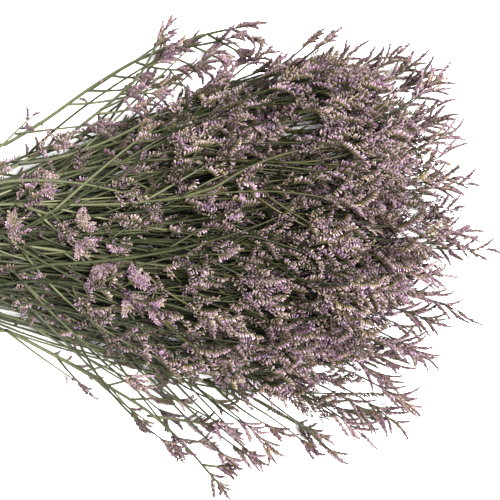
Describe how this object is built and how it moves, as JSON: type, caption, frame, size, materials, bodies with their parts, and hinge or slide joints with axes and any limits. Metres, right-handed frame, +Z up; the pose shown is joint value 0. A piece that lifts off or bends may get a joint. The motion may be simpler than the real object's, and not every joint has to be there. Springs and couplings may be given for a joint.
{
  "type": "bunch of dried statice",
  "caption": "Tied bunch of dried statice lying on its side: a slim bundle of cut stems that fans out into arching branches with serrated lilac flower plumes.",
  "frame": {"origin": "on the surface that the bunch lies on, under the middle of its bounding box", "axes": "+X along the bunch, from the tied cut ends towards the flower heads; +Z up from the surface; +Y across the flat width of the bunch"},
  "size_m": [0.7224, 0.4342, 0.1619],
  "materials": {
    "dried_plant": "dry and matt, dark green stems with papery lilac florets",
    "twine": "matt twisted fibre"
  },
  "bodies": {
    "root": {"spray_01": "dried_plant", "spray_02": "dried_plant", "spray_03": "dried_plant", "spray_04": "dried_plant", "spray_05": "dried_plant", "spray_06": "dried_plant", "spray_07": "dried_plant", "spray_08": "dried_plant", "spray_09": "dried_plant", "spray_10": "dried_plant", "spray_11": "dried_plant", "spray_12": "dried_plant", "spray_13": "dried_plant", "spray_14": "dried_plant", "spray_15": "dried_plant", "spray_16": "dried_plant", "spray_17": "dried_plant", "spray_18": "dried_plant", "spray_19": "dried_plant", "spray_20": "dried_plant", "spray_21": "dried_plant", "spray_22": "dried_plant", "spray_23": "dried_plant", "spray_24": "dried_plant", "spray_25": "dried_plant", "spray_26": "dried_plant", "spray_27": "dried_plant", "spray_28": "dried_plant", "spray_29": "dried_plant", "spray_30": "dried_plant", "spray_31": "dried_plant", "spray_32": "dried_plant", "spray_33": "dried_plant", "spray_34": "dried_plant", "spray_35": "dried_plant", "spray_36": "dried_plant", "spray_37": "dried_plant", "tie": "twine"}
  },
  "joints": []
}
